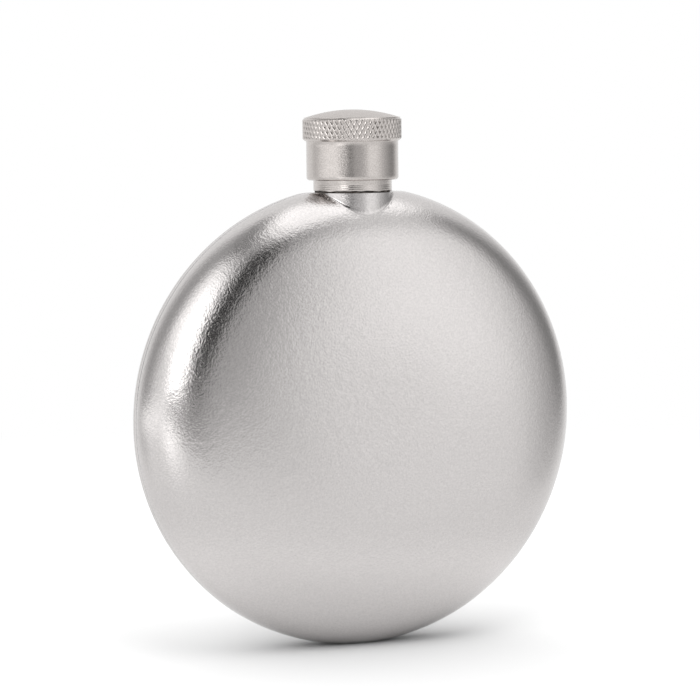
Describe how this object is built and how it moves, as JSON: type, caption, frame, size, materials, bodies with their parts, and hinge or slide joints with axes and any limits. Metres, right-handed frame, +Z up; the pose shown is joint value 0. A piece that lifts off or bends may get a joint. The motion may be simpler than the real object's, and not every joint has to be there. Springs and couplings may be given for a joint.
{
  "type": "hip flask",
  "caption": "Round disc-shaped steel hip flask with a short neck and a knurled screw cap that turns and rises on its thread.",
  "frame": {"origin": "the middle of the small flat under the rim, on the surface that the flask stands on", "axes": "+Z up along the neck and cap, -Y out of the front panel, +Y out of the back panel, X across the disc"},
  "size_m": [0.1, 0.03, 0.1161],
  "materials": {
    "pebbled_steel": "fine pebbled satin, softly glossy",
    "turned_steel": "satin, turned",
    "weld_steel": "as welded, dull",
    "liner": "matt"
  },
  "bodies": {
    "flask": {"front_shell": "pebbled_steel", "back_shell": "pebbled_steel", "seam_weld": "pebbled_steel", "neck": "turned_steel", "neck_weld": "weld_steel"},
    "liner": {"cap_liner": "liner"},
    "cap": {"cap": "turned_steel"}
  },
  "joints": [
    {"name": "cap_rise", "type": "slide", "parent": "flask", "child": "liner", "axis": [0, 0, 1], "range_m": [0, 0.012]},
    {"name": "cap_turn", "type": "hinge", "parent": "liner", "child": "cap", "pos_m": [0, 0, 0.10875], "axis": [0, 0, 1], "range_deg": [0, 2160]}
  ],
  "couplings": [
    {"joint": "cap_rise", "follows": "cap_turn", "m_per_rad": 0.0003183}
  ]
}
